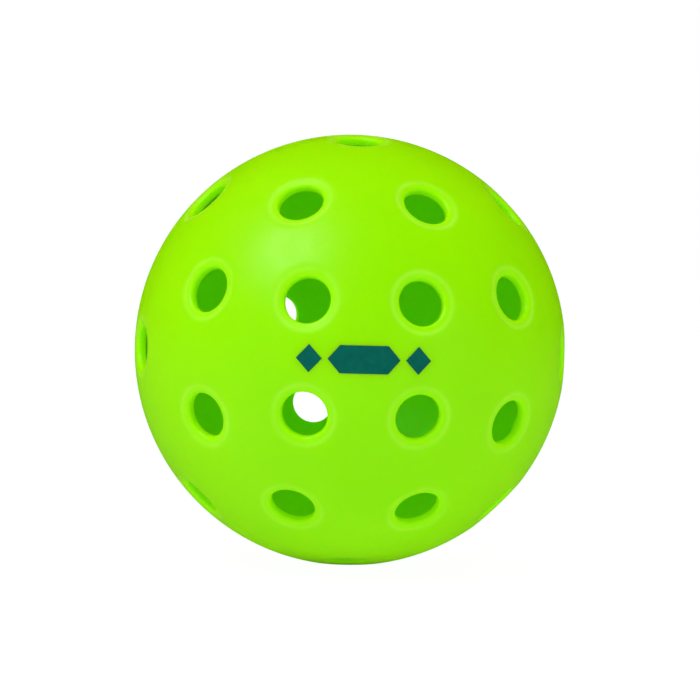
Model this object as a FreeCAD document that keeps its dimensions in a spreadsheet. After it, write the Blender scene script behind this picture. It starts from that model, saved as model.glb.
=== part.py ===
"""A hollow sports ball for outdoor court play: two moulded half shells, each with twenty round holes,
butt welded at the equator, with a small pad-printed emblem on the front pole.

Frame: millimetres, origin at the ball's centre, +Z up, the printed emblem facing -Y and reading along +X.
The halves meet in the plane Y = 0.
"""

import FreeCAD, Part  # FreeCAD has to come first
import math
import os

import Sketcher
from FreeCAD import Placement, Rotation, Vector

OUTPUT_FOLDER = "parts"
SHEET = "Sizes"
HEADROOM = 1.0
RADIUS_TOLERANCE = 1e-4

# alias: (value, what it is). Lengths in millimetres, angles in degrees.
SIZES = {
    "ball_diameter": (74.0, "outside of the moulded shell"),
    "wall": (1.8, "shell thickness"),
    "hole_diameter": (7.4, "throat, the narrowest part of every hole"),
    "lip_width": (2.7, "from a hole's throat out to where its rolled-in lip leaves the round surface"),
    "nose_radius": (0.6, "the tight roll from the lip down into the throat"),
    "throat_height": (0.85, "straight length of a hole's throat above the shell's inner surface"),
    "inner_edge_radius": (0.3, "rounding of each hole's inner edge"),
    "ring_one_angle": (20.6, "from the pole axis to the first ring's hole axes"),
    "ring_two_angle": (46.8, "from the pole axis to the second ring's hole axes"),
    "ring_three_angle": (76.3, "from the pole axis to the third ring's hole axes"),
    "ring_one_start": (45.0, "turn of the first ring's first hole about the pole axis"),
    "ring_two_start": (22.5, "turn of the second ring's first hole about the pole axis"),
    "ring_three_start": (0.0, "turn of the third ring's first hole about the pole axis"),
    "stagger": (22.5, "turn of the rear half against the front half"),
    "weld_groove": (0.12, "depth of each half's share of the fine groove along the weld"),
    "bead_width": (1.9, "the weld bead across its foot, on the shell's inner surface"),
    "bead_crest": (0.9, "between the crests of the bead's two rolls"),
    "bead_height": (0.5, "from the shell's inner surface to the crests"),
    "bead_valley": (0.2, "depth of the dip between the two rolls"),
    "ink_thickness": (0.05, "printed film above the shell"),
    "emblem_height": (4.4, "tip to tip of the diamonds and across the bar"),
    "bar_length": (11.4, "the middle bar, point to point"),
    "bar_point": (1.9, "length of each of the bar's pointed ends"),
    "diamond_width": (4.0, "side diamonds, point to point"),
    "emblem_gap": (0.9, "between the bar's points and the diamonds"),
}
RINGS = (("one", 4), ("two", 8), ("three", 8))


def cell(alias):
    """The expression that reads one driving size."""
    return f"<<{SHEET}>>.{alias}"


def add_sheet(doc):
    sheet = doc.addObject("Spreadsheet::Sheet", SHEET)
    for row, (alias, (value, meaning)) in enumerate(SIZES.items(), start=1):
        sheet.set(f"A{row}", alias)
        sheet.set(f"B{row}", str(value))
        sheet.set(f"C{row}", meaning)
        sheet.setAlias(f"B{row}", alias)
    doc.recompute()
    return sheet


def origin_feature(body, role):
    return next(o for o in body.Origin.OriginFeatures if o.Role == role)


def add_sketch(body, name, role):
    sketch = body.newObject("Sketcher::SketchObject", name)
    sketch.AttachmentSupport = [(origin_feature(body, role), "")]
    sketch.MapMode = "FlatFace"
    return sketch


def bind(obj, **expressions):
    for path, expression in expressions.items():
        obj.setExpression(path.replace("__", "."), expression)


def constrain_size(sketch, kind, items, alias_expression, name):
    """Adds a dimension and ties it to the sheet."""
    index = sketch.addConstraint(Sketcher.Constraint(kind, *items))
    sketch.renameConstraint(index, name)
    sketch.setExpression(f"Constraints.{name}", alias_expression)


def add_dome(doc, body):
    """The half shell before its holes: a quarter ring turned about the pole axis, which is -Y."""
    sketch = add_sketch(body, body.Name + "_section", "XY_Plane")
    outer_radius = SIZES["ball_diameter"][0] / 2
    inner_radius = outer_radius - SIZES["wall"][0]
    normal = Vector(0, 0, 1)
    arcs = [
        sketch.addGeometry(Part.ArcOfCircle(Part.Circle(Vector(), normal, radius), -math.pi / 2, 0))
        for radius in (outer_radius, inner_radius)
    ]
    pole_line = sketch.addGeometry(Part.LineSegment(Vector(0, -outer_radius), Vector(0, -inner_radius)))
    rim_line = sketch.addGeometry(Part.LineSegment(Vector(outer_radius, 0), Vector(inner_radius, 0)))
    start, end, centre = 1, 2, 3
    for position, arc in enumerate(arcs, start=1):
        sketch.addConstraint(Sketcher.Constraint("Coincident", arc, centre, -1, 1))
        sketch.addConstraint(Sketcher.Constraint("Coincident", arc, start, pole_line, position))
        sketch.addConstraint(Sketcher.Constraint("Coincident", arc, end, rim_line, position))
    sketch.addConstraint(Sketcher.Constraint("PointOnObject", pole_line, start, -2))
    sketch.addConstraint(Sketcher.Constraint("PointOnObject", pole_line, end, -2))
    sketch.addConstraint(Sketcher.Constraint("PointOnObject", rim_line, start, -1))
    sketch.addConstraint(Sketcher.Constraint("PointOnObject", rim_line, end, -1))
    constrain_size(sketch, "Radius", (arcs[0], outer_radius), cell("ball_diameter") + " / 2", "outside")
    inside = f"{cell('ball_diameter')} / 2 - {cell('wall')}"
    constrain_size(sketch, "Radius", (arcs[1], inner_radius), inside, "inside")

    dome = body.newObject("PartDesign::Revolution", body.Name + "_dome")
    dome.Profile = sketch
    dome.ReferenceAxis = (origin_feature(body, "Y_Axis"), [""])
    dome.Angle = 360
    doc.recompute()
    return dome


def lip_points():
    """Corners and arc middles of a hole's half section: x from the hole's axis, y out from the ball's centre."""
    value = {alias: size for alias, (size, _) in SIZES.items()}
    outer_radius = value["ball_diameter"] / 2
    inner_radius = outer_radius - value["wall"]
    throat = value["hole_diameter"] / 2
    nose = value["nose_radius"]
    reach = throat + value["lip_width"]
    edge = Vector(reach, math.sqrt(outer_radius**2 - reach**2))
    nose_y = math.sqrt(inner_radius**2 - throat**2) + value["throat_height"]
    nose_middle = Vector(throat + nose, nose_y)
    # The one roll that leaves the round surface smoothly at the edge and runs smoothly into the nose.
    gap = edge - nose_middle
    roll = (gap.Length**2 - nose**2) / (2 * (gap.dot(edge) / outer_radius - nose))
    roll_middle = edge * (1 - roll / outer_radius)
    join = roll_middle + (nose_middle - roll_middle) * (roll / (roll - nose))
    bottom = outer_radius - value["wall"] - HEADROOM
    top = outer_radius + HEADROOM
    return {
        "axis_bottom": Vector(0, bottom),
        "throat_bottom": Vector(throat, bottom),
        "throat_top": Vector(throat, nose_y),
        "join": join,
        "edge": edge,
        "edge_top": Vector(edge.x, top),
        "axis_top": Vector(0, top),
        "nose_middle": nose_middle,
        "roll_middle": roll_middle,
    }


def arc_between(middle, first, last):
    """The arc about middle that runs anticlockwise from first to last."""
    angles = [math.atan2(point.y - middle.y, point.x - middle.x) for point in (first, last)]
    circle = Part.Circle(middle, Vector(0, 0, 1), (first - middle).Length)
    return Part.ArcOfCircle(circle, angles[0], angles[1])


def draw_lip(sketch):
    """Half the section of one hole with its rolled-in lip, closed along the hole's axis."""
    at = lip_points()

    def line(first, last):
        return sketch.addGeometry(Part.LineSegment(at[first], at[last]))

    floor = line("axis_bottom", "throat_bottom")
    throat = line("throat_bottom", "throat_top")
    nose = sketch.addGeometry(arc_between(at["nose_middle"], at["join"], at["throat_top"]))
    roll = sketch.addGeometry(arc_between(at["roll_middle"], at["edge"], at["join"]))
    side = line("edge", "edge_top")
    lid = line("edge_top", "axis_top")
    axis = line("axis_top", "axis_bottom")
    spoke = sketch.addGeometry(Part.LineSegment(Vector(), at["edge"]), True)
    start, end, middle = 1, 2, 3
    for constraint in (
        ("Coincident", floor, end, throat, start),
        ("Tangent", throat, end, nose, end),
        ("Tangent", nose, start, roll, end),
        ("Coincident", roll, start, side, start),
        ("Coincident", side, end, lid, start),
        ("Coincident", lid, end, axis, start),
        ("Coincident", axis, end, floor, start),
        ("Coincident", spoke, start, -1, 1),
        ("Coincident", spoke, end, roll, start),
        ("PointOnObject", roll, middle, spoke),
        ("PointOnObject", axis, start, -2),
        ("Horizontal", floor),
        ("Horizontal", lid),
        ("Vertical", throat),
        ("Vertical", side),
        ("Vertical", axis),
    ):
        sketch.addConstraint(Sketcher.Constraint(*constraint))
    ball_radius = cell("ball_diameter") + " / 2"
    values = {alias: size for alias, (size, _) in SIZES.items()}
    constrain_size(sketch, "Distance", (spoke, values["ball_diameter"] / 2), ball_radius, "ball")
    constrain_size(sketch, "Radius", (nose, values["nose_radius"]), cell("nose_radius"), "nose")
    half_hole = cell("hole_diameter") + " / 2"
    lip_reach = f"{half_hole} + {cell('lip_width')}"
    constrain_size(sketch, "DistanceX", (-1, 1, side, 1, at["edge"].x), lip_reach, "reach")
    throat_foot = f"sqrt(({ball_radius} - {cell('wall')}) ^ 2 - ({half_hole}) ^ 2)"
    nose_height = f"{throat_foot} + {cell('throat_height')}"
    constrain_size(sketch, "DistanceY", (-1, 1, nose, middle, at["nose_middle"].y), nose_height, "nose_height")
    constrain_size(sketch, "DistanceX", (-1, 1, throat, 1, at["throat_top"].x), half_hole, "throat")
    depth = f"{ball_radius} - {cell('wall')} - {HEADROOM}"
    constrain_size(sketch, "DistanceY", (-1, 1, floor, 1, at["axis_bottom"].y), depth, "depth")
    height = f"{ball_radius} + {HEADROOM}"
    constrain_size(sketch, "DistanceY", (-1, 1, lid, 2, at["axis_top"].y), height, "height")


def add_ring(doc, body, ring, count):
    """One ring of holes: the lipped section turned about the first hole's axis, then patterned about the pole."""
    sketch = add_sketch(body, f"{body.Name}_ring_{ring}_section", "XZ_Plane")
    turn, tilt = cell(f"ring_{ring}_start"), cell(f"ring_{ring}_angle")
    sketch.setExpression("AttachmentOffset", f"placement(vector(0; 0; 0); rotation({turn}; {tilt}; 90))")
    draw_lip(sketch)
    doc.recompute()

    hole = body.newObject("PartDesign::Groove", f"{body.Name}_ring_{ring}_hole")
    hole.Profile = sketch
    hole.ReferenceAxis = (sketch, ["V_Axis"])
    hole.Angle = 360
    doc.recompute()

    pattern = body.newObject("PartDesign::PolarPattern", f"{body.Name}_ring_{ring}")
    pattern.Originals = [hole]
    pattern.Axis = (origin_feature(body, "Y_Axis"), [""])
    pattern.Angle = 360
    pattern.Occurrences = count
    body.Tip = pattern
    doc.recompute()
    return pattern


def faces_of(shape, kind, radius=None):
    """The faces that lie on this kind of surface, of this radius when one is given."""
    faces = [face for face in shape.Faces if isinstance(face.Surface, kind)]
    if radius is None:
        return faces
    return [face for face in faces if abs(face.Surface.Radius - radius) < RADIUS_TOLERANCE]


def shared_edges(shape, first_faces, second_faces):
    """Names of the edges where a face of the first set meets a face of the second."""
    first = [edge for face in first_faces for edge in face.Edges]
    second = [edge for face in second_faces for edge in face.Edges]
    return [
        f"Edge{number}"
        for number, edge in enumerate(shape.Edges, start=1)
        if any(edge.isSame(other) for other in first) and any(edge.isSame(other) for other in second)
    ]


def round_edges(doc, body, name, kind, edges, base, expression):
    """A fillet or chamfer on named edges of the feature before it."""
    assert edges, f"{body.Name}_{name} found no edges"
    feature = body.newObject(kind, f"{body.Name}_{name}")
    feature.Base = (base, edges)
    bind(feature, **{"Radius" if kind.endswith("Fillet") else "Size": expression})
    body.Tip = feature
    doc.recompute()
    return feature


def add_half_shell(doc, name):
    """Both halves come from one tool: rings of 4, 8 and 8 round holes with rolled-in lips."""
    body = doc.addObject("PartDesign::Body", name)
    body.Label = name
    tip = add_dome(doc, body)
    for ring, count in RINGS:
        tip = add_ring(doc, body, ring, count)

    sheet = doc.getObject(SHEET)
    outer_radius = sheet.ball_diameter / 2
    inner_radius = outer_radius - sheet.wall
    shape = tip.Shape
    throats = faces_of(shape, Part.Cylinder)
    holes = sum(count for _, count in RINGS)
    assert len(throats) == holes, f"{name} has {len(throats)} throats, not {holes}"
    edges = shared_edges(shape, throats, faces_of(shape, Part.Sphere, inner_radius))
    tip = round_edges(
        doc, body, "inner_edges", "PartDesign::Fillet", edges, tip, cell("inner_edge_radius")
    )
    shape = tip.Shape
    edges = shared_edges(shape, faces_of(shape, Part.Plane), faces_of(shape, Part.Sphere, outer_radius))
    round_edges(doc, body, "weld_groove", "PartDesign::Chamfer", edges, tip, cell("weld_groove"))
    return body


def add_weld_bead(doc):
    """The two rolls of melt that the butt weld leaves inside, seated on the shell's inner surface."""
    body = doc.addObject("PartDesign::Body", "weld_bead")
    body.Label = "weld_bead"
    value = {alias: size for alias, (size, _) in SIZES.items()}
    inner_radius = value["ball_diameter"] / 2 - value["wall"]
    foot_y = value["bead_width"] / 2
    foot_x = math.sqrt(inner_radius**2 - foot_y**2)
    crest_x = inner_radius - value["bead_height"]
    valley_x = crest_x + value["bead_valley"]
    crest_y = value["bead_crest"] / 2
    upper_foot, upper_crest = Vector(foot_x, foot_y), Vector(crest_x, crest_y)
    lower_foot, lower_crest = Vector(foot_x, -foot_y), Vector(crest_x, -crest_y)
    valley = Vector(valley_x, 0)

    sketch = add_sketch(body, "weld_bead_section", "XY_Plane")
    seat = sketch.addGeometry(arc_between(Vector(), lower_foot, upper_foot))
    corners = (upper_foot, upper_crest, valley, lower_crest, lower_foot)
    sides = [sketch.addGeometry(Part.LineSegment(a, b)) for a, b in zip(corners, corners[1:])]
    start, end, middle = 1, 2, 3
    for constraint in (
        ("Coincident", seat, middle, -1, 1),
        ("Coincident", seat, end, sides[0], start),
        ("Coincident", sides[0], end, sides[1], start),
        ("Coincident", sides[1], end, sides[2], start),
        ("Coincident", sides[2], end, sides[3], start),
        ("Coincident", sides[3], end, seat, start),
        ("PointOnObject", sides[1], end, -1),
        ("Symmetric", sides[0], end, sides[3], start, -1),
    ):
        sketch.addConstraint(Sketcher.Constraint(*constraint))
    inside = f"{cell('ball_diameter')} / 2 - {cell('wall')}"
    constrain_size(sketch, "Radius", (seat, inner_radius), inside, "seat")
    half_width = cell("bead_width") + " / 2"
    constrain_size(sketch, "DistanceY", (-1, 1, sides[0], start, foot_y), half_width, "foot")
    constrain_size(sketch, "DistanceY", (-1, 1, sides[3], end, -foot_y), f"-{half_width}", "lower_foot")
    half_crest = cell("bead_crest") + " / 2"
    constrain_size(sketch, "DistanceY", (-1, 1, sides[0], end, crest_y), half_crest, "crest")
    reach = f"{inside} - {cell('bead_height')}"
    constrain_size(sketch, "DistanceX", (-1, 1, sides[0], end, crest_x), reach, "reach")
    dip = f"{reach} + {cell('bead_valley')}"
    constrain_size(sketch, "DistanceX", (-1, 1, sides[1], end, valley_x), dip, "valley")
    ring = body.newObject("PartDesign::Revolution", "weld_bead_ring")
    ring.Profile = sketch
    ring.ReferenceAxis = (origin_feature(body, "Y_Axis"), [""])
    ring.Angle = 360
    doc.recompute()
    return body


def emblem_outline(sketch, corners):
    """A closed straight-sided outline. corners are pairs of (value, expression) for x and for y."""
    points = [Vector(x[0], y[0]) for x, y in corners]
    lines = [
        sketch.addGeometry(Part.LineSegment(a, b))
        for a, b in zip(points, points[1:] + points[:1])
    ]
    for this, after in zip(lines, lines[1:] + lines[:1]):
        sketch.addConstraint(Sketcher.Constraint("Coincident", this, 2, after, 1))
    for line, corner in zip(lines, corners):
        for kind, axis, (value, expression) in zip(("DistanceX", "DistanceY"), ("-2", "-1"), corner):
            if value == 0:
                sketch.addConstraint(Sketcher.Constraint("PointOnObject", line, 1, int(axis)))
                continue
            name = f"{kind}_{line}"
            constrain_size(sketch, kind, (-1, 1, line, 1, value), expression, name)


def emblem_corners():
    """The middle bar with pointed ends, and a diamond on each side of it."""
    value = {alias: size for alias, (size, _) in SIZES.items()}
    half_height = (value["emblem_height"] / 2, cell("emblem_height") + " / 2")
    tip = (value["bar_length"] / 2, cell("bar_length") + " / 2")
    shoulder = (
        value["bar_length"] / 2 - value["bar_point"],
        f"{cell('bar_length')} / 2 - {cell('bar_point')}",
    )
    near = (
        tip[0] + value["emblem_gap"],
        f"{cell('bar_length')} / 2 + {cell('emblem_gap')}",
    )
    middle = (
        near[0] + value["diamond_width"] / 2,
        f"{near[1]} + {cell('diamond_width')} / 2",
    )
    far = (near[0] + value["diamond_width"], f"{near[1]} + {cell('diamond_width')}")
    zero = (0, "0")

    def minus(size):
        return (-size[0], f"-({size[1]})")

    bar = [
        (minus(tip), zero),
        (minus(shoulder), minus(half_height)),
        (shoulder, minus(half_height)),
        (tip, zero),
        (shoulder, half_height),
        (minus(shoulder), half_height),
    ]
    diamond = [(near, zero), (middle, minus(half_height)), (far, zero), (middle, half_height)]
    mirrored = [(minus(x), y) for x, y in reversed(diamond)]
    return bar, diamond, mirrored


def add_emblem(doc):
    """The printed film: the emblem's outlines pushed through a thin spherical layer on the front pole."""
    sketch = doc.addObject("Sketcher::SketchObject", "emblem_outlines")
    sketch.Placement = Placement(Vector(), Rotation(Vector(1, 0, 0), 90))
    for corners in emblem_corners():
        emblem_outline(sketch, corners)
    doc.recompute()

    column = doc.addObject("Part::Extrusion", "emblem_column")
    column.Base = sketch
    column.DirMode = "Custom"
    column.Dir = Vector(0, -1, 0)
    column.Solid = True
    bind(column, LengthFwd=f"{cell('ball_diameter')} / 2 + {HEADROOM}")

    ball = doc.addObject("Part::Sphere", "emblem_seat")
    bind(ball, Radius=f"{cell('ball_diameter')} / 2")
    film_ball = doc.addObject("Part::Sphere", "emblem_film_limit")
    bind(film_ball, Radius=f"{cell('ball_diameter')} / 2 + {cell('ink_thickness')}")
    film = doc.addObject("Part::Cut", "emblem_film")
    film.Base, film.Tool = film_ball, ball
    emblem = doc.addObject("Part::Common", "printed_emblem")
    emblem.Base, emblem.Tool = film, column
    emblem.Label = "printed_emblem"
    doc.recompute()
    return emblem


def check(doc, parts):
    """Stops if any object failed or any sub-part's shape is missing or bad."""
    for obj in doc.Objects:
        assert not {"Invalid", "Error"} & set(obj.State), f"{obj.Label} failed: {obj.State}"
    for part in parts:
        assert not part.Shape.isNull() and part.Shape.isValid(), f"{part.Label} has a bad shape"
        assert part.Shape.Solids, f"{part.Label} has no solid"


def main():
    doc = FreeCAD.newDocument("court_ball")
    add_sheet(doc)
    front = add_half_shell(doc, "front_half_shell")
    rear = add_half_shell(doc, "rear_half_shell")
    # Turned about Z to face +Y, then about the pole axis by the stagger.
    rear.setExpression(
        "Placement",
        f"placement(vector(0; 0; 0); rotation(vector(0; 1; 0); -{cell('stagger')}) * rotation(180; 0; 0))",
    )
    parts = [front, rear, add_weld_bead(doc), add_emblem(doc)]
    doc.recompute()
    check(doc, parts)

    os.makedirs(OUTPUT_FOLDER, exist_ok=True)
    for part in parts:
        part.Shape.exportStep(os.path.join(OUTPUT_FOLDER, f"{part.Label}.step"))
        box = part.Shape.optimalBoundingBox(False)
        print(
            f"{part.Label}: {len(part.Shape.Solids)} solid(s), {part.Shape.Volume:.1f} mm3,"
            f" Y {box.YMin:.2f} to {box.YMax:.2f}"
        )


main()
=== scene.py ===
"""Visual model of a hollow perforated court ball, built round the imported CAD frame.

Metres. +Z up, the printed emblem faces -Y, and the half shells meet in the plane Y = 0.
The rings' frame, in which a half shell is drawn, has X right, Y up and Z out of the front pole.
"""
import math

import bmesh
import bpy
from mathutils import Matrix, Vector
from mathutils.geometry import delaunay_2d_cdt


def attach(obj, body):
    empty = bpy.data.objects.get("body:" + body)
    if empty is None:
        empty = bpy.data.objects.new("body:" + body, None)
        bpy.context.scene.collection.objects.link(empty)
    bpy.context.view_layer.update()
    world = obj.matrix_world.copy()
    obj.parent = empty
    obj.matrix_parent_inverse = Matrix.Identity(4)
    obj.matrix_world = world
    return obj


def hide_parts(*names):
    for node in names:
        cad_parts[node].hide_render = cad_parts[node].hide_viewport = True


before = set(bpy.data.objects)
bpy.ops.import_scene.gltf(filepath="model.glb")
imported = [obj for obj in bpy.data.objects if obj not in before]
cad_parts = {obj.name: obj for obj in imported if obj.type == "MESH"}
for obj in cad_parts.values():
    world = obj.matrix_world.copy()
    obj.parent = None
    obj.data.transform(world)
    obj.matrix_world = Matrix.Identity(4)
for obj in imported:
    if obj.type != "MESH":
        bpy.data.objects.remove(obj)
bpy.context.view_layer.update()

MM = 0.001

# Sizes, as in the CAD model.
BALL_R = 37.0 * MM
WALL = 1.8 * MM
INNER_R = BALL_R - WALL
THROAT_R = 3.7 * MM
LIP_REACH = THROAT_R + 2.7 * MM
NOSE_R = 0.6 * MM
THROAT_HEIGHT = 0.85 * MM
INNER_EDGE_R = 0.3 * MM
WELD_GROOVE = 0.12 * MM
BEAD_WIDTH = 1.9 * MM
BEAD_CREST = 0.9 * MM
BEAD_HEIGHT = 0.5 * MM
BEAD_VALLEY = 0.2 * MM
BEAD_ROUNDING = 0.15 * MM
STAGGER = math.radians(22.5)  # turn of the rear half's rings against the front half's
# (angle from the pole, turn of the first hole, number of holes)
RINGS = (
    (math.radians(20.6), math.radians(45.0), 4),
    (math.radians(46.8), math.radians(22.5), 8),
    (math.radians(76.3), 0.0, 8),
)

# Mesh fineness: points round a hole and round the weld, and steps along the hole's and the bead's sections.
HOLE_SEGMENTS = 72
RIM_SEGMENTS = 288
ROLL_STEPS = 9
NOSE_STEPS = 9
THROAT_STEPS = 3
INNER_EDGE_STEPS = 5
ROUNDING_STEPS = 4
SEAT_STEPS = 6

# Points that fill a skin, in rows about the pole: the distance between them, how far they keep from a hole's
# ring, where the first row lies as a share of a row's width, and the fewest in a row.
FILL_STEP = 0.9 * MM
FILL_CLEARANCE = 0.55 * FILL_STEP
FIRST_ROW = 0.25
FEWEST_IN_ROW = 6
WHOLE_HULL = 0  # delaunay_2d_cdt's output type that keeps every triangle
MERGE_DISTANCE = 1e-9
NEAR_POLE = 0.99  # height of a unit vector that is too near the pole to measure round it

# Pale ring painted on the lip of a hole as a highlight, where the surface bends into it: its radius, how far
# it fades, and how deep it can lie.
LIP_CREST = 5.0 * MM
LIP_CREST_SPREAD = 0.38 * MM
PAINTED_HIGHLIGHT_DEPTH = 0.6 * WALL

# Colours, linear.
SHELL_COLOR = (0.370, 0.875, 0.0005)
SHELL_CLOUD = (0.354, 0.855, 0.0005)
# Pale colour of the highlight ring painted on the lips.
SHELL_PAINTED_HIGHLIGHT = (0.470, 0.960, 0.060)
INK_COLOR = (0.0, 0.102, 0.112)
INK_THIN = (0.0, 0.130, 0.124)
WHITE = (1.0, 1.0, 1.0)

# Light that comes through the plastic: its colour, and its strength inside, in the throats and in the seam.
GLOW_COLOR = (0.26, 0.90, 0.0)
WALL_GLOW = 0.035
THROAT_GLOW = 0.12
SEAM_GLOW = 0.22
# A point is on the inner skin if it is this near to it, and in the seam's groove if it is this near to the
# weld's plane and no deeper than this.
INNER_SKIN_TOLERANCE = 0.1 * INNER_EDGE_R
GROOVE_REACH = 0.5 * WELD_GROOVE
GROOVE_DEPTH = 2 * WELD_GROOVE

SCATTER_DISTANCE = 2.0 * MM
NOISE_SPAN = (0.3, 0.7)  # most of a noise lies between these

# Stage. The floor and the world light the ball less than the camera sees them shine.
FLOOR_REACH = 3.0
FLOOR_COLOR = (0.06, 0.06, 0.06)
FLOOR_TINT = (0.80, 1.0, 0.4)  # of its light on the ball, part of which has come off the ball before
FLOOR_LIGHT_UNDER_BALL = 0.2
FLOOR_LIGHT_IN_OPEN = 0.90
FLOOR_SHADE = (3 * MM, 18 * MM)  # the shade under the ball is full up to the first and gone at the second
FLOOR_SEEN = 0.97
WORLD_LIGHT = 0.80
WORLD_SEEN = 1.0
# (name, place, width, power in watts)
SOFTBOXES = (
    ("key_softbox", (-0.44, -0.36, 0.66), 0.48, 2.2),
    ("fill_softbox", (0.55, -0.55, 0.15), 0.45, 0.1),
)

# Camera: the turn from the rings' frame to its own, as an axis times an angle, and its distance and lens.
VIEW_TURN = Vector((0.0404, 0.0605, -0.0273))
CAMERA_DISTANCE = 10.063 * BALL_R
LENS = 110.9
SENSOR_WIDTH = 36.0

# From the rings' frame to the row's.
POLE_TO_ROW = Matrix(((1, 0, 0), (0, 0, -1), (0, 1, 0)))


def direction(tilt, turn):
    """Unit vector at an angle from the pole, turned about it, in the rings' frame."""
    return Vector((math.sin(tilt) * math.cos(turn), math.sin(tilt) * math.sin(turn), math.cos(tilt)))


def hole_axes():
    """Unit vectors along the holes of one half, in the rings' frame."""
    return [
        direction(tilt, start + 2 * math.pi * k / count)
        for tilt, start, count in RINGS
        for k in range(count)
    ]


def arc(middle, radius, first, last, steps):
    """Points on an arc between two angles, ends included."""
    return [
        Vector((middle.x + radius * math.cos(a), middle.y + radius * math.sin(a)))
        for a in (first + (last - first) * k / steps for k in range(steps + 1))
    ]


def angle_of(vector):
    return math.atan2(vector.y, vector.x)


def hole_section():
    """The hole's half section from the round surface down its lip and throat to the inner surface.

    x is from the hole's axis and y from the ball's centre.
    """
    edge = Vector((LIP_REACH, math.sqrt(BALL_R**2 - LIP_REACH**2)))
    nose = Vector((THROAT_R + NOSE_R, math.sqrt(INNER_R**2 - THROAT_R**2) + THROAT_HEIGHT))
    gap = edge - nose
    roll_r = (gap.length_squared - NOSE_R**2) / (2 * (gap.dot(edge) / BALL_R - NOSE_R))
    roll = edge * (1 - roll_r / BALL_R)
    join = angle_of(nose - roll)
    inner_x = THROAT_R + INNER_EDGE_R
    inner = Vector((inner_x, math.sqrt((INNER_R + INNER_EDGE_R) ** 2 - inner_x**2)))
    points = arc(roll, roll_r, angle_of(edge - roll), join, ROLL_STEPS)
    points += arc(nose, NOSE_R, join, math.pi, NOSE_STEPS)[1:]
    for k in range(1, THROAT_STEPS):
        points.append(Vector((THROAT_R, nose.y + (inner.y - nose.y) * k / THROAT_STEPS)))
    points += arc(inner, INNER_EDGE_R, math.pi, 2 * math.pi + angle_of(-inner), INNER_EDGE_STEPS)
    return points


def flatten(unit):
    """Stereographic projection of a direction onto the plane of the rim."""
    return Vector((unit.x, unit.y)) / (1 + unit.z)


def unflatten(point):
    """The direction whose projection a point is."""
    square = point.length_squared
    return Vector((2 * point.x, 2 * point.y, 1 - square)) / (1 + square)


def frame_of(axis):
    """Two unit vectors square to an axis, so that first x second runs along it."""
    helper = Vector((0, 0, 1)) if abs(axis.z) < NEAR_POLE else Vector((0, 1, 0))
    first = helper.cross(axis).normalized()
    return first, axis.cross(first)


def circle_about(axis, radius, height, count):
    """Points round an axis, at a height along it."""
    first, second = frame_of(axis)
    return [
        axis * height + (first * math.cos(a) + second * math.sin(a)) * radius
        for a in (2 * math.pi * k / count for k in range(count))
    ]


def fill_directions(radius, clear):
    """Evenly spread directions over a half sphere, where clear(direction) allows one."""
    rows = int(radius * math.pi / 2 / FILL_STEP)
    fill = []
    for row in range(rows):
        tilt = (row + FIRST_ROW) * math.pi / 2 / rows
        count = max(FEWEST_IN_ROW, int(2 * math.pi * radius * math.sin(tilt) / FILL_STEP))
        for k in range(count):
            unit = direction(tilt, 2 * math.pi * (k + 0.5 * (row % 2)) / count)
            if clear(unit):
                fill.append(unit)
    return fill


def skin(radius, hole_rings, rim, axes, hole_reach):
    """Triangles over a half sphere between its rim and its holes' rings.

    Returns points and faces, which are triples of places in points. The rings' points come first, in order,
    then the rim's, then the fill.
    """
    def off_holes(unit, reach):
        """Whether a direction is further than reach, along the half sphere, from the axis of every hole."""
        limit = math.cos(reach / radius)
        return all(unit.dot(axis) < limit for axis in axes)

    fixed = [point for ring in hole_rings for point in ring] + rim
    edges = []
    start = 0
    for ring in hole_rings + [rim]:
        count = len(ring)
        edges += [(start + k, start + (k + 1) % count) for k in range(count)]
        start += count
    fill = fill_directions(radius, lambda unit: off_holes(unit, hole_reach + FILL_CLEARANCE))
    flat = [flatten(point.normalized()) for point in fixed] + [flatten(unit) for unit in fill]
    points, _, faces, origins, _, _ = delaunay_2d_cdt(flat, edges, [], WHOLE_HULL, MERGE_DISTANCE)
    assert len(points) == len(flat), "the skin's points were merged or split"
    order = [ids[0] for ids in origins]
    kept = []
    for face in faces:
        middle = sum((points[i] for i in face), Vector((0, 0))) / 3
        if off_holes(unflatten(middle), hole_reach):
            kept.append(tuple(order[i] for i in face))
    return fixed + [unit * radius for unit in fill], kept


def closed_piece(name, points, faces):
    """A smooth closed mesh with its faces turned outwards."""
    mesh = bpy.data.meshes.new(name)
    mesh.from_pydata(points, [], faces)
    work = bmesh.new()
    work.from_mesh(mesh)
    bmesh.ops.recalc_face_normals(work, faces=work.faces)
    assert all(edge.is_manifold for edge in work.edges), f"{name} isn't closed"
    work.to_mesh(mesh)
    work.free()
    mesh.shade_smooth()
    piece = bpy.data.objects.new(name, mesh)
    bpy.context.scene.collection.objects.link(piece)
    return piece


def distance_from_hole(point, axes):
    """How far a point is from the axis of the hole nearest to it."""
    return min((point - axis * point.dot(axis)).length for axis in axes if point.dot(axis) > 0)


def painted_highlight_at(point, axes):
    """How near a point of the outside is to the crest of a lip, where a pale ring is painted as a highlight:
    0 to 1.
    """
    if point.length < BALL_R - PAINTED_HIGHLIGHT_DEPTH:
        return 0.0
    return math.exp(-(((distance_from_hole(point, axes) - LIP_CREST) / LIP_CREST_SPREAD) ** 2))


def glow_at(point, axes):
    """How much light comes through the plastic at a point: none on the round outside."""
    if point.length < INNER_R + INNER_SKIN_TOLERANCE:
        return WALL_GLOW
    if point.z < GROOVE_REACH and point.length > BALL_R - GROOVE_DEPTH:
        return SEAM_GLOW
    depth = (LIP_CREST - distance_from_hole(point, axes)) / (LIP_CREST - THROAT_R)
    return THROAT_GLOW * min(1.0, max(0.0, depth))


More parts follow.
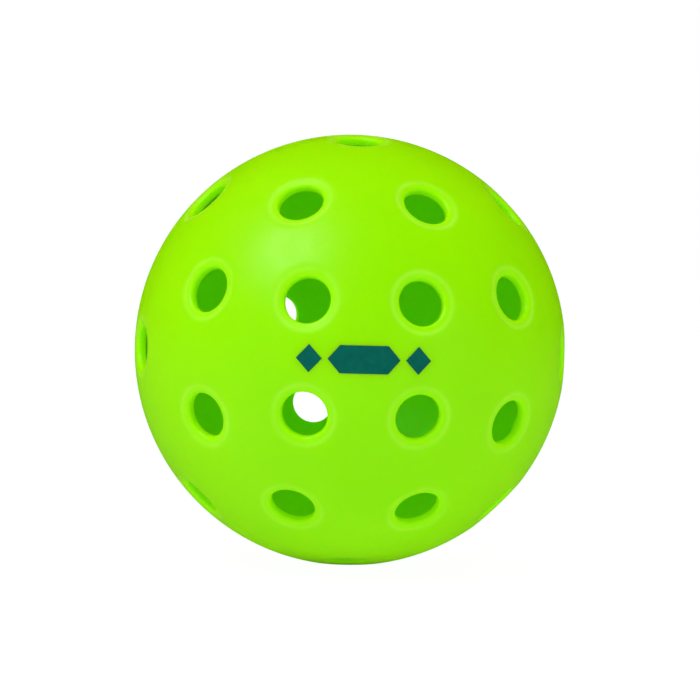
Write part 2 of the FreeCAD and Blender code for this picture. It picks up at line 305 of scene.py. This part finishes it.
def half_surface(axes):
    """One half: outer skin, inner skin, a lipped strip through each hole, groove and flat weld face."""
    section = hole_section()
    rings = [[circle_about(axis, p.x, p.y, HOLE_SEGMENTS) for p in section] for axis in axes]
    pole = Vector((0, 0, 1))
    slope = math.asin(WELD_GROOVE / BALL_R)
    outer_rim = circle_about(pole, BALL_R * math.cos(slope), WELD_GROOVE, RIM_SEGMENTS)
    groove_rim = circle_about(pole, BALL_R - WELD_GROOVE, 0, RIM_SEGMENTS)
    inner_rim = circle_about(pole, INNER_R, 0, RIM_SEGMENTS)
    points, faces = [], []

    def add_skin(radius, which, rim, outward):
        """Adds a skin, and returns where each hole's ring and the rim start in points."""
        first = len(points)
        reach = radius * math.asin(section[which].x / radius)
        new_points, new_faces = skin(radius, [ring[which] for ring in rings], rim, axes, reach)
        points.extend(new_points)
        for face in new_faces:
            a, b, c = (first + i for i in face)
            faces.append((a, b, c) if outward else (c, b, a))
        rim_start = first + len(axes) * HOLE_SEGMENTS
        return [first + k * HOLE_SEGMENTS for k in range(len(axes))], rim_start

    def add_strip(starts, count):
        """Joins each circle of points to the next, given where they start."""
        for upper, lower in zip(starts, starts[1:]):
            for k in range(count):
                after = (k + 1) % count
                faces.append((upper + after, upper + k, lower + k, lower + after))

    outer_starts, outer_rim_start = add_skin(BALL_R, 0, outer_rim, True)
    inner_starts, inner_rim_start = add_skin(INNER_R, -1, inner_rim, False)
    for hole, ring in enumerate(rings):
        starts = [outer_starts[hole]]
        for circle in ring[1:-1]:
            starts.append(len(points))
            points.extend(circle)
        starts.append(inner_starts[hole])
        add_strip(starts, HOLE_SEGMENTS)
    groove_start = len(points)
    points.extend(groove_rim)
    add_strip([inner_rim_start, groove_start, outer_rim_start], RIM_SEGMENTS)
    return points, faces


def half_shell(name, rear):
    """One half shell in its place. The rear one is the same moulding turned round."""
    axes = hole_axes()
    points, faces = half_surface(axes)
    turn = Matrix.Identity(3)
    if rear:
        turn = Matrix.Rotation(math.pi, 3, "X")
        turn = Matrix.Rotation(STAGGER, 3, "Z") @ turn
    piece = closed_piece(name, [POLE_TO_ROW @ (turn @ point) for point in points], faces)
    # The first layer holds the highlight ring painted on the lips, the second the glow.
    for layer, value_at in (("lip_painted_highlight", painted_highlight_at), ("wall_glow", glow_at)):
        values = piece.data.attributes.new(layer, "FLOAT", "POINT").data
        for entry, point in zip(values, points):
            entry.value = value_at(point, axes)
    return piece


def bead_section():
    """The weld bead's section in the plane of x, out from the centre, and y, across the weld."""
    foot_y, crest_y = BEAD_WIDTH / 2, BEAD_CREST / 2
    foot = Vector((math.sqrt(INNER_R**2 - foot_y**2), foot_y))
    crest_x = INNER_R - BEAD_HEIGHT
    half = [foot, Vector((crest_x, crest_y)), Vector((crest_x + BEAD_VALLEY, 0))]
    corners = half + [Vector((p.x, -p.y)) for p in half[1::-1]]
    section = [foot]
    for before, corner, after in zip(corners, corners[1:], corners[2:]):
        for share in (step / ROUNDING_STEPS for step in range(ROUNDING_STEPS + 1)):
            blend = BEAD_ROUNDING * (before - corner).normalized() * (1 - share) ** 2
            blend += BEAD_ROUNDING * (after - corner).normalized() * share**2
            section.append(corner + blend)
    section.append(corners[-1])
    seat = angle_of(corners[-1])
    return section + arc(Vector((0, 0)), INNER_R, seat, -seat, SEAT_STEPS)[1:-1]


def weld_bead():
    """The double roll of melt left inside by the butt weld, with softened crests."""
    section = bead_section()
    points, faces = [], []
    around = len(section)
    for turn in range(RIM_SEGMENTS):
        a = 2 * math.pi * turn / RIM_SEGMENTS
        points += [(p.x * math.cos(a), p.y, p.x * math.sin(a)) for p in section]
        here, there = turn * around, (turn + 1) % RIM_SEGMENTS * around
        for k in range(around):
            ahead = (k + 1) % around
            faces.append((here + k, here + ahead, there + ahead, there + k))
    return closed_piece("weld_bead_ring", points, faces)


def plain_material(name, color, roughness):
    material = bpy.data.materials.new(name)
    material.use_nodes = True
    shader = material.node_tree.nodes["Principled BSDF"]
    shader.inputs["Base Color"].default_value = (*color, 1)
    shader.inputs["Roughness"].default_value = roughness
    return material, material.node_tree, shader


def feed(tree, value, socket):
    """Gives a socket a number, a colour or another node's socket."""
    if isinstance(value, bpy.types.NodeSocket):
        tree.links.new(value, socket)
    elif isinstance(value, tuple):
        socket.default_value = (*value, 1)
    else:
        socket.default_value = value


def add_range(tree, value, low, high, span=(0.0, 1.0)):
    """A socket's value spread from a span to a range from low to high."""
    spread = tree.nodes.new("ShaderNodeMapRange")
    spread.inputs["From Min"].default_value, spread.inputs["From Max"].default_value = span
    feed(tree, low, spread.inputs["To Min"])
    feed(tree, high, spread.inputs["To Max"])
    feed(tree, value, spread.inputs["Value"])
    return spread.outputs["Result"]


def add_noise(tree, scale, detail, low, high):
    """Noise over the object's own metres, spread over a range."""
    place = tree.nodes.new("ShaderNodeTexCoord")
    grain = tree.nodes.new("ShaderNodeTexNoise")
    grain.inputs["Scale"].default_value = scale
    grain.inputs["Detail"].default_value = detail
    tree.links.new(place.outputs["Object"], grain.inputs["Vector"])
    return add_range(tree, grain.outputs["Fac"], low, high, NOISE_SPAN)


def add_mix(tree, factor, first, second):
    """Mixes two colours, fixed ones or other nodes' sockets."""
    mix = tree.nodes.new("ShaderNodeMix")
    mix.data_type = "RGBA"
    tree.links.new(factor, mix.inputs["Factor"])
    for name, value in (("A", first), ("B", second)):
        feed(tree, value, next(i for i in mix.inputs if i.name == name and i.type == "RGBA"))
    return next(o for o in mix.outputs if o.type == "RGBA")


def add_product(tree, first, second):
    times = tree.nodes.new("ShaderNodeMath")
    times.operation = "MULTIPLY"
    feed(tree, first, times.inputs[0])
    feed(tree, second, times.inputs[1])
    return times.outputs[0]


def add_layer(tree, name):
    """The value that a mesh attribute gives each point."""
    layer = tree.nodes.new("ShaderNodeAttribute")
    layer.attribute_name = name
    return layer.outputs["Fac"]


def add_bump(tree, shader, height, distance, strength):
    bump = tree.nodes.new("ShaderNodeBump")
    bump.inputs["Distance"].default_value = distance
    bump.inputs["Strength"].default_value = strength
    tree.links.new(height, bump.inputs["Height"])
    tree.links.new(bump.outputs["Normal"], shader.inputs["Normal"])


def shell_material():
    """Satin polyethylene: cloudy colour, moulding grain, and a pale ring painted on the lips as a highlight.
    """
    material, tree, shader = plain_material("moulded_plastic", SHELL_COLOR, roughness=0.34)
    clouds = add_noise(tree, scale=70.0, detail=3.0, low=0.0, high=1.0)
    cloudy = add_mix(tree, clouds, SHELL_COLOR, SHELL_CLOUD)
    # Painted highlight: a pale ring on the lips, mottled by noise, mixed into the base colour.
    ring_mottle = add_noise(tree, scale=160.0, detail=2.0, low=0.30, high=0.80)
    painted_ring = add_product(tree, add_layer(tree, "lip_painted_highlight"), ring_mottle)
    feed(tree, add_mix(tree, painted_ring, cloudy, SHELL_PAINTED_HIGHLIGHT), shader.inputs["Base Color"])
    sheen = add_noise(tree, scale=320.0, detail=4.0, low=0.30, high=0.40)
    feed(tree, sheen, shader.inputs["Roughness"])
    grain = add_noise(tree, scale=1500.0, detail=3.0, low=0.0, high=1.0)
    add_bump(tree, shader, grain, distance=0.02 * MM, strength=0.35)
    feed(tree, GLOW_COLOR, shader.inputs["Emission Color"])
    feed(tree, add_layer(tree, "wall_glow"), shader.inputs["Emission Strength"])
    shader.subsurface_method = "RANDOM_WALK"
    shader.inputs["Subsurface Weight"].default_value = 1.0
    shader.inputs["Subsurface Radius"].default_value = (0.35, 1.0, 0.05)
    shader.inputs["Subsurface Scale"].default_value = SCATTER_DISTANCE
    shader.inputs["IOR"].default_value = 1.5
    shader.inputs["Specular IOR Level"].default_value = 0.36
    return material


def ink_material():
    """Pad-printed ink, a little thinner in places."""
    material, tree, shader = plain_material("pad_print_ink", INK_COLOR, roughness=0.5)
    thinness = add_noise(tree, scale=900.0, detail=4.0, low=0.0, high=1.0)
    feed(tree, add_mix(tree, thinness, INK_COLOR, INK_THIN), shader.inputs["Base Color"])
    sheen = add_noise(tree, scale=600.0, detail=2.0, low=0.42, high=0.58)
    feed(tree, sheen, shader.inputs["Roughness"])
    grain = add_noise(tree, scale=2500.0, detail=2.0, low=0.0, high=1.0)
    add_bump(tree, shader, grain, distance=0.01 * MM, strength=0.3)
    shader.inputs["Specular IOR Level"].default_value = 0.06
    return material


def make_ball():
    """The shells and the bead stand for their CAD nodes, and the emblem keeps its CAD mesh."""
    shell_look = shell_material()
    ink_look = ink_material()
    for piece, node in (
        (half_shell("front_shell_skin", rear=False), "front_half_shell"),
        (half_shell("rear_shell_skin", rear=True), "rear_half_shell"),
        (weld_bead(), "weld_bead"),
    ):
        piece.data.materials.append(shell_look)
        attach(piece, "root")
        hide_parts(node)
    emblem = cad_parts["printed_emblem"].data
    emblem.materials.clear()
    emblem.materials.append(ink_look)


def glow_by_ray(tree, socket, lighting, seen):
    """Stage only: how bright it is as light on the ball and as the background. The ball doesn't mirror it."""
    path = tree.nodes.new("ShaderNodeLightPath")
    unmirrored = add_range(tree, path.outputs["Is Glossy Ray"], lighting, 0.0)
    tree.links.new(add_range(tree, path.outputs["Is Camera Ray"], unmirrored, seen), socket)


def make_floor():
    """White floor that lights the ball from below, less so right under it."""
    mesh = bpy.data.meshes.new("studio_floor")
    corners = [(x * FLOOR_REACH, y * FLOOR_REACH, 0) for x, y in ((-1, -1), (1, -1), (1, 1), (-1, 1))]
    mesh.from_pydata(corners, [], [(0, 1, 2, 3)])
    floor = bpy.data.objects.new("studio_floor", mesh)
    floor.location = (0, 0, -BALL_R)
    bpy.context.scene.collection.objects.link(floor)
    material, tree, shader = plain_material("studio_white", FLOOR_COLOR, roughness=0.9)
    shader.inputs["Specular IOR Level"].default_value = 0.0
    path = tree.nodes.new("ShaderNodeLightPath")
    tint = add_mix(tree, path.outputs["Is Camera Ray"], FLOOR_TINT, WHITE)
    tree.links.new(tint, shader.inputs["Emission Color"])
    place = tree.nodes.new("ShaderNodeTexCoord")
    away = tree.nodes.new("ShaderNodeVectorMath")
    away.operation = "LENGTH"
    tree.links.new(place.outputs["Object"], away.inputs[0])
    shaded = add_range(tree, away.outputs["Value"], FLOOR_LIGHT_UNDER_BALL, FLOOR_LIGHT_IN_OPEN, FLOOR_SHADE)
    glow_by_ray(tree, shader.inputs["Emission Strength"], shaded, FLOOR_SEEN)
    mesh.materials.append(material)


def make_softbox(name, place, width, power):
    """A round lamp that faces the ball."""
    light = bpy.data.lights.new(name, "AREA")
    light.shape = "DISK"
    light.size = width
    light.energy = power
    lamp = bpy.data.objects.new(name, light)
    lamp.location = place
    lamp.rotation_euler = (-Vector(place)).to_track_quat("-Z", "Y").to_euler()
    bpy.context.scene.collection.objects.link(lamp)


def make_world():
    world = bpy.data.worlds.new("studio")
    world.use_nodes = True
    background = world.node_tree.nodes["Background"]
    background.inputs["Color"].default_value = (*WHITE, 1)
    glow_by_ray(world.node_tree, background.inputs["Strength"], WORLD_LIGHT, WORLD_SEEN)
    bpy.context.scene.world = world
    bpy.context.scene.view_settings.view_transform = "Standard"


def make_camera():
    camera_data = bpy.data.cameras.new("camera")
    camera_data.lens = LENS
    camera_data.sensor_width = SENSOR_WIDTH
    camera = bpy.data.objects.new("camera", camera_data)
    rings_to_camera = Matrix.Rotation(VIEW_TURN.length, 3, VIEW_TURN.normalized())
    camera_to_row = POLE_TO_ROW @ rings_to_camera.transposed()
    place = camera_to_row @ Vector((0, 0, CAMERA_DISTANCE))
    camera.matrix_world = Matrix.Translation(place) @ camera_to_row.to_4x4()
    bpy.context.scene.collection.objects.link(camera)
    bpy.context.scene.camera = camera


make_ball()
make_floor()
for softbox in SOFTBOXES:
    make_softbox(*softbox)
make_world()
make_camera()
